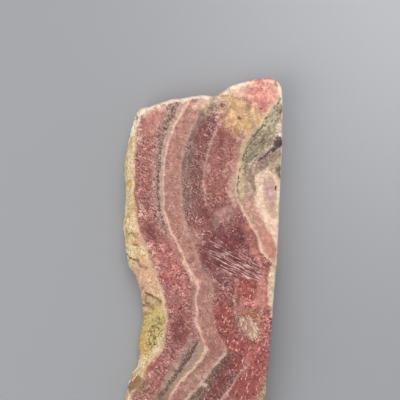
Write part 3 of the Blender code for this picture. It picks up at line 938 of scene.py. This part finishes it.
        # Painted glints: salmon flashes where crystal faces catch the light.
        glints = self.step(self.long_noise(1.4, 0.7, 70, detail=1.0), 0.62, 0.68)
        colour = self.mix(self.times(glints, red, 0.85), colour, GLINT_SALMON)
        blots = self.step(self.noise(self.place, 1.5), 0.42, 0.34)
        return self.mix(self.times(blots, red, 0.85), colour, BLOT)

    def scratched(self, colour):
        """Saw scratches, in bundles."""
        sawn = self.step(self.field("sawn"), 0.1, 0.8)
        marks = self.long_noise(3.6, 0.33, -28, roughness=0.6)
        bundle = self.step(self.noise(self.place, 2.6), 0.38, 0.6, bottom=0.35, top=1.0)
        grid_y = self.math("SUBTRACT", self.y, GRID_ZERO.y)
        bright = self.step(grid_y, *SCRATCH_FADE_Y, bottom=0.5, top=1.0)
        light = self.times(self.step(marks, 0.53, 0.62), sawn, bundle, bright)
        colour = self.mix(light, colour, SCRATCH_AND_GLINT)
        return self.mix(self.times(self.step(marks, 0.48, 0.38), sawn, 0.85), colour, GRAIN_DARK)

    def crystalline(self, colour):
        """White crystals that fan down through the hollow, over a brown floor; whiter where they stand up,
        which is partly painted highlight and shade.
        """
        weight = self.plus(self.field("druse"), self.step(self.fine, 0.25, 0.75, bottom=-0.5, top=0.5))
        strands = self.long_noise(3.0, 0.55, -58, detail=3.0, roughness=0.65)
        # Partly painted light: whiter on the raised crystals, browner between them.
        raised_highlight = self.step(self.field("relief"), 0.0, 0.5, bottom=-0.06, top=0.14)
        white = self.step(self.plus(strands, raised_highlight), 0.42, 0.56)
        tint = self.mix(white, CRYSTAL_SHADE, WHITE_CRYSTAL)
        return self.mix(self.step(weight, 0.3, 0.7, top=0.9), colour, tint)

    def bay(self):
        """The hollow side of the skin: orange outside, speckled yellow, and cream at its lower end."""
        grid_x = self.math("SUBTRACT", self.x, GRID_ZERO.x)
        across = self.plus(grid_x, self.step(self.mottle, 0.3, 0.7, bottom=-2.0, top=2.0))
        colour = self.mix(self.step(across, *BAY_ORANGE_X, top=0.8), BAY_YELLOW, BAY_ORANGE)
        pale = self.plus(self.field("cream_edge"), self.step(self.fine, 0.3, 0.7, bottom=-0.3, top=0.3))
        colour = self.mix(self.step(pale, 0.2, 0.8), colour, BAY_CREAM)
        specks = self.long_noise(0.9, 0.5, 48, roughness=0.6)
        often = self.step(self.field("speckled"), 0.0, 0.8, bottom=0.4, top=1.0)
        olive = self.times(self.step(specks, 0.47, 0.57), self.step(self.mottle, 0.35, 0.5), often)
        return self.mix(olive, colour, BAY_OLIVE)

    def mottled_field(self, name, less, more):
        """A field that the mottle makes smaller and larger."""
        return self.plus(self.field(name), self.step(self.mottle, 0.35, 0.65, bottom=-less, top=more))

    def skin(self):
        """The natural skin: cream to ochre crust, peach cobbles, a green and yellow bay, and painted shade
        where it sinks.
        """
        crust = self.mix(self.step(self.mottle, 0.4, 0.6), SKIN_CREAM, SKIN_GREEN)
        ochre = self.step(self.noise(self.place, 3.5, detail=3.0), 0.5, 0.64, top=0.8)
        crust = self.mix(ochre, crust, SKIN_OCHRE)
        crust = self.mix(self.times(self.field("peach"), self.step(self.mottle, 0.3, 0.5)), crust, SKIN_PEACH)
        crust = self.mix(self.field("bleached"), crust, SKIN_WHITE)
        crust = self.mix(self.field("bay"), crust, self.bay())
        foot = self.step(self.mottled_field("foot", 0.35, 0.3), 0.1, 0.9, top=0.85)
        crust = self.mix(foot, crust, FOOT_BROWN)
        umber = self.step(self.mottled_field("umber", 0.4, 0.3), -0.1, 1.2, top=0.6)
        # Painted shade: darker towards the brown where the relief sinks, in creases, pits and between
        # cobbles.
        sunk_shade = self.step(self.field("relief"), -0.1, -0.6, top=0.8)
        dots = self.step(self.noise(self.place, 0.6, roughness=0.6), 0.42, 0.3, top=0.7)
        for brown in (umber, sunk_shade, dots):
            crust = self.mix(brown, crust, SKIN_BROWN_AND_SHADE)
        return self.shade(crust, self.step(self.fine, 0.3, 0.7, bottom=0.8, top=1.2))

    def bruised_and_highlit(self, colour):
        """The white rim: bruised edges, and a painted highlight where the rounded edges catch the light."""
        worn = self.step(self.mottled_field("worn", 0.6, 0.2), 0.1, 0.8, top=0.85)
        cover = self.times(worn, self.step(self.fine, 0.3, 0.55, bottom=0.7, top=1.0))
        return self.mix(cover, colour, BRUISED_AND_HIGHLIT)

    def finish(self):
        colour = self.banded()
        for lay_over in (
            self.smoked, self.eye, self.stained, self.dotted, self.far_lined, self.grained,
            self.glinted_and_blotted, self.scratched, self.crystalline,
        ):
            colour = lay_over(colour)
        colour = self.bruised_and_highlit(self.mix(self.field("skin"), colour, self.skin()))
        heights = {"Height": self.fine, "Distance": BUMP_M, "Strength": BUMP_STRENGTH}
        return self.surface(colour, STONE_ROUGHNESS, Normal=self.add("Bump", heights, "Normal"))


def floor_material():
    return Graph("studio_floor").surface(FLOOR_GREY, FLOOR_ROUGHNESS)


# --- Studio ---

LENS = 100.0
SENSOR = 36.0
VIEW_WIDTH_M = 0.128
VIEW_CENTRE_M = (-0.0007, 0.0207)
FLOOR_HALF_M = 3.0
LAMP_COLOUR = (1.0, 0.97, 0.94)
# Area lights: name, place and size in metres, and power in watts.
LIGHTS = (
    ("key", (0.15, 0.75, 0.75), 0.7, 5.6), ("fill", (-0.62, -0.3, 0.55), 0.9, 4.75),
    ("right", (0.75, -0.1, 0.5), 0.9, 1.15),
)
GLOW_PLACE_M = (0.085, 0.1, 0.5)
GLOW_POWER = 4.4
GLOW_DEGREES = 24
GLOW_RADIUS_M = 0.05
SURROUND_STRENGTH = 0.35


def place_in_scene(name, data, location):
    """A new object in the scene."""
    thing = bpy.data.objects.new(name, data)
    thing.location = location
    bpy.context.scene.collection.objects.link(thing)
    return thing


def add_camera():
    """A camera straight above the front face, with the slice's lower end past the frame."""
    data = bpy.data.cameras.new("camera")
    data.lens = LENS
    data.sensor_width = SENSOR
    distance = VIEW_WIDTH_M * LENS / SENSOR
    bpy.context.scene.camera = place_in_scene("camera", data, (*VIEW_CENTRE_M, distance + THICKNESS * MM))


def add_floor():
    mesh = bpy.data.meshes.new("floor")
    corners = [(-1, -1), (1, -1), (1, 1), (-1, 1)]
    mesh.from_pydata([(x * FLOOR_HALF_M, y * FLOOR_HALF_M, 0) for x, y in corners], [], [(0, 1, 2, 3)])
    mesh.materials.append(floor_material())
    place_in_scene("floor", mesh, (0, 0, 0))


def add_light(name, place, size, power):
    """A square area light, aimed at the slice."""
    data = bpy.data.lights.new(name, "AREA")
    data.size = size
    data.energy = power
    data.color = LAMP_COLOUR
    light = place_in_scene(name, data, place)
    light.rotation_euler = (-Vector(place)).to_track_quat("-Z", "Y").to_euler()


def add_corner_glow():
    """A soft pool of light on the floor, past the slice's upper right corner."""
    data = bpy.data.lights.new("corner_glow", "SPOT")
    data.energy = GLOW_POWER
    data.spot_size = math.radians(GLOW_DEGREES)
    data.spot_blend = 1.0
    data.shadow_soft_size = GLOW_RADIUS_M
    place_in_scene("corner_glow", data, GLOW_PLACE_M)


def add_world():
    """An even white surround."""
    world = bpy.data.worlds.new("studio")
    world.use_nodes = True
    background = world.node_tree.nodes["Background"]
    background.inputs["Color"].default_value = (1, 1, 1, 1)
    background.inputs["Strength"].default_value = SURROUND_STRENGTH
    bpy.context.scene.world = world


# --- Scene ---

slab = even_copy(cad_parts["slice"])
write_fields(slab.data, stone_fields(*carve(slab)))
slab.data.materials.append(Stone().finish())
slab.data.shade_smooth()
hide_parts("slice")
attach(slab, "root")

add_floor()
add_camera()
for light in LIGHTS:
    add_light(*light)
add_corner_glow()
add_world()
bpy.context.scene.view_settings.view_transform = "Standard"
